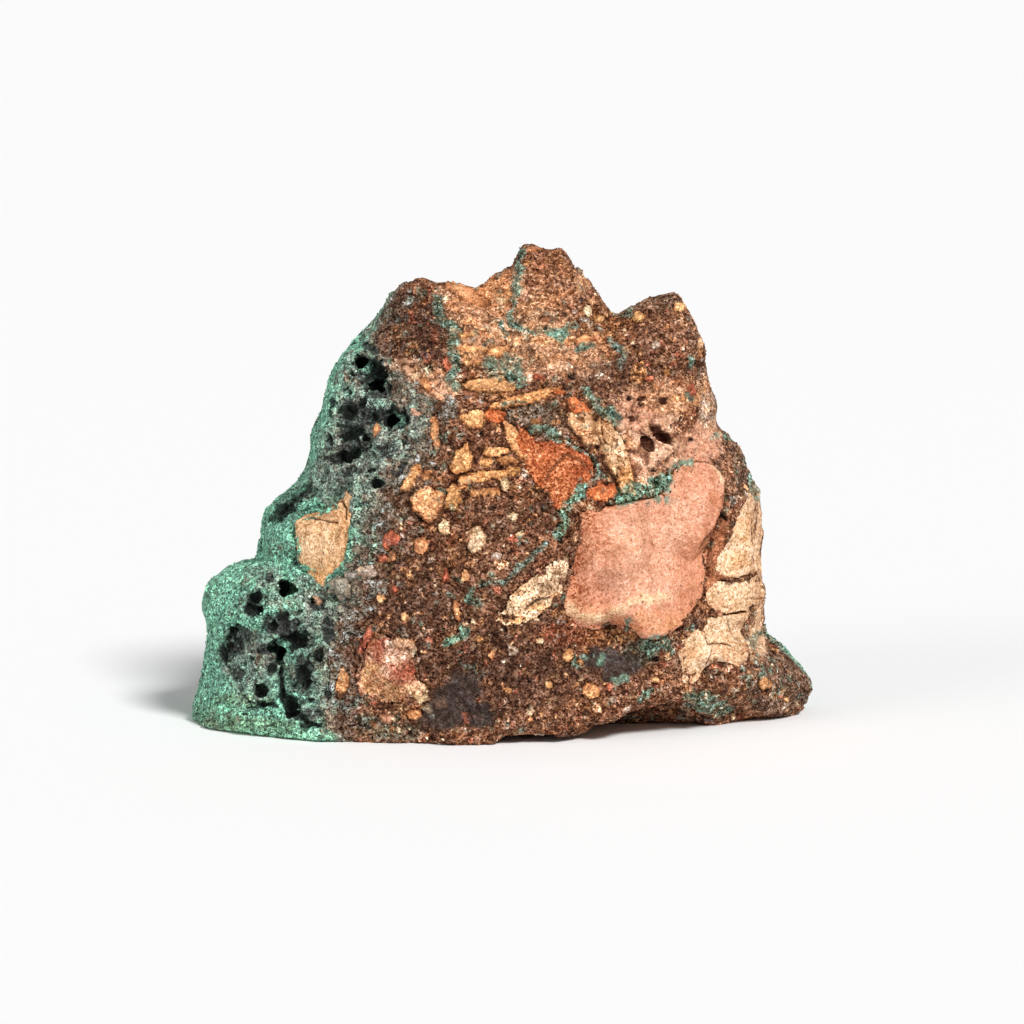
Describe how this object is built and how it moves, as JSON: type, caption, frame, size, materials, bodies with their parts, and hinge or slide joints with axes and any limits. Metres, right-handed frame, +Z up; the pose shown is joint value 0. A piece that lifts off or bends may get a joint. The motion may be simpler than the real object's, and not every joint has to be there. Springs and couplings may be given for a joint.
{
  "type": "aragonite on malachite specimen",
  "caption": "Broken mineral specimen that stands on a flat edge: salmon, orange and cream aragonite in brown breccia, with a vuggy green malachite flank and back.",
  "frame": {"origin": "middle of the bounding box in X and Y, on the surface that the specimen stands on", "axes": "+X along the broken face, +Y from the face towards the malachite back, +Z up"},
  "size_m": [0.1115, 0.0684, 0.0863],
  "materials": {
    "breccia": "gritty, dull",
    "malachite": "velvety, vuggy",
    "salmon_aragonite": "finely sugary",
    "orange_aragonite": "finely sugary",
    "tan_aragonite": "fibrous",
    "cream_aragonite": "fibrous, pale",
    "rusty_aragonite": "rough, iron-stained"
  },
  "bodies": {
    "root": {"host_breccia": "breccia", "malachite_crust": "malachite", "salmon_mass": "salmon_aragonite", "orange_mass": "orange_aragonite", "tan_slab_upper": "tan_aragonite", "tan_slab_lower": "tan_aragonite", "cream_wedge": "cream_aragonite", "cream_fragment": "cream_aragonite", "cream_block_top": "cream_aragonite", "cream_block_middle": "cream_aragonite", "cream_block_bottom": "cream_aragonite", "rusty_fragment": "rusty_aragonite"}
  },
  "joints": []
}
